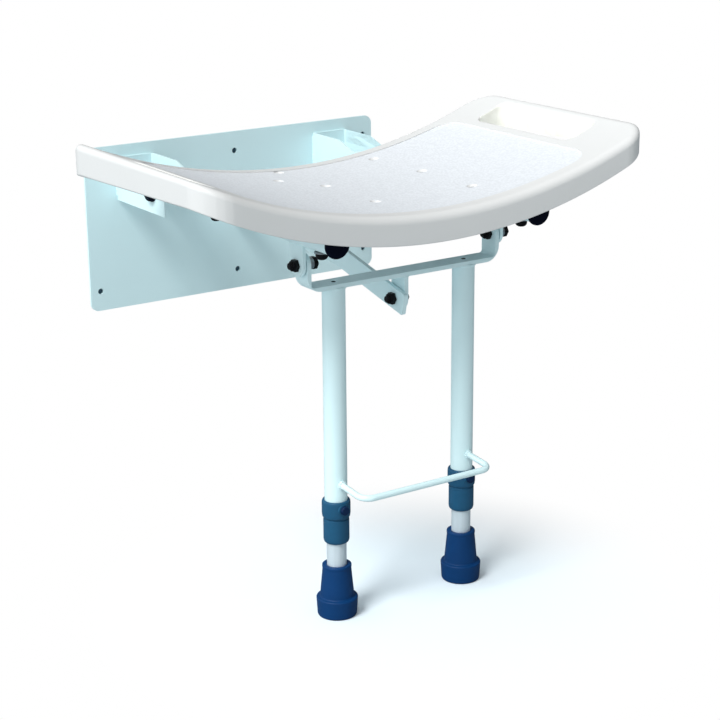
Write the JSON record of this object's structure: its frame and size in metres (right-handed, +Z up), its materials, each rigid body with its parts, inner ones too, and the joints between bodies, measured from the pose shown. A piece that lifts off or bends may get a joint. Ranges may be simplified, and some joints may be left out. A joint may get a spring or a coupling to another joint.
{
  "type": "wall-mounted folding shower seat",
  "caption": "Wall-mounted fold-up shower seat: dished board with hand-grip slots on a tube frame, carried by linked folding legs that adjust in height.",
  "frame": {"origin": "centre of the wall plate's hole pattern, on the plate's back face", "axes": "+X along the wall, +Y into the wall, +Z up; the floor is at z = -0.382"},
  "size_m": [0.562, 0.436, 0.5166],
  "materials": {
    "frame_paint": "satin mint-white powder coat",
    "seat_plastic": "fine moulded grain, satin rim",
    "collar_plastic": "satin moulding",
    "cap_plastic": "satin moulding",
    "knob_plastic": "satin moulding",
    "foot_rubber": "matt moulded rubber",
    "extension_metal": "satin anodised",
    "bolt_steel": "zinc plated",
    "black_fastener": "black coated",
    "spring_steel": "bright strip",
    "nylon": "plain moulding",
    "insert_brass": "turned"
  },
  "bodies": {
    "wall": {"wall_plate": "frame_paint", "seat_bracket_left": "frame_paint", "seat_bracket_right": "frame_paint", "link_wall_bracket": "frame_paint", "hinge_bolts": "bolt_steel", "hinge_nuts": "bolt_steel", "hinge_nut_caps": "cap_plastic", "hinge_washers": "nylon", "hinge_spacers": "nylon", "link_rear_bolt": "black_fastener", "link_rear_nut": "black_fastener"},
    "seat": {"seat_board": "seat_plastic", "frame_tube_left": "frame_paint", "frame_tube_right": "frame_paint", "frame_cross_bar": "frame_paint", "frame_hinge_sleeves": "frame_paint", "frame_end_caps": "cap_plastic", "leg_lugs": "frame_paint", "leg_pivot_bolts": "black_fastener", "leg_pivot_nuts": "black_fastener", "leg_pivot_spacers": "bolt_steel", "leg_pivot_washers": "nylon", "seat_bolts": "black_fastener", "seat_bolt_washers": "bolt_steel", "seat_inserts": "insert_brass"},
    "legs": {"leg_yoke": "frame_paint", "link_lug": "frame_paint", "link_front_bolt": "black_fastener", "link_front_nut": "black_fastener", "link_front_washer": "nylon", "leg_tube_left": "frame_paint", "leg_tube_right": "frame_paint", "carry_loop": "frame_paint", "lock_ring_left": "collar_plastic", "lock_ring_right": "collar_plastic", "guide_sleeve_left": "collar_plastic", "guide_sleeve_right": "collar_plastic", "lock_spring_left": "spring_steel", "lock_spring_right": "spring_steel"},
    "link": {"folding_link": "frame_paint"},
    "extension_left": {"leg_extension_left": "extension_metal", "foot_left": "foot_rubber"},
    "extension_right": {"leg_extension_right": "extension_metal", "foot_right": "foot_rubber"},
    "lock_pin_left": {"lock_pin_left": "knob_plastic"},
    "lock_pin_right": {"lock_pin_right": "knob_plastic"}
  },
  "joints": [
    {"name": "seat_hinge", "type": "hinge", "parent": "wall", "child": "seat", "pos_m": [0, -0.094, 0.058], "axis": [-1, 0, 0], "range_deg": [0, 88]},
    {"name": "leg_fold", "type": "hinge", "parent": "seat", "child": "legs", "pos_m": [0, -0.353, 0.022], "axis": [1, 0, 0], "range_deg": [0, 88]},
    {"name": "link_hinge", "type": "hinge", "parent": "wall", "child": "link", "pos_m": [0, -0.094, 0.004], "axis": [-1, 0, 0], "range_deg": [0, 88]},
    {"name": "extension_slide_left", "type": "slide", "parent": "legs", "child": "extension_left", "axis": [0, 0, -1], "range_m": [0, 0.1]},
    {"name": "extension_slide_right", "type": "slide", "parent": "legs", "child": "extension_right", "axis": [0, 0, -1], "range_m": [0, 0.1]},
    {"name": "lock_pull_left", "type": "slide", "parent": "legs", "child": "lock_pin_left", "axis": [0, -1, 0], "range_m": [0, 0.0014], "stiffness_N_per_m": 400, "springref_m": -0.001},
    {"name": "lock_pull_right", "type": "slide", "parent": "legs", "child": "lock_pin_right", "axis": [0, -1, 0], "range_m": [0, 0.0014], "stiffness_N_per_m": 400, "springref_m": -0.001}
  ],
  "couplings": [
    {"joint": "leg_fold", "follows": "seat_hinge", "ratio": 1},
    {"joint": "link_hinge", "follows": "seat_hinge", "ratio": 1}
  ]
}
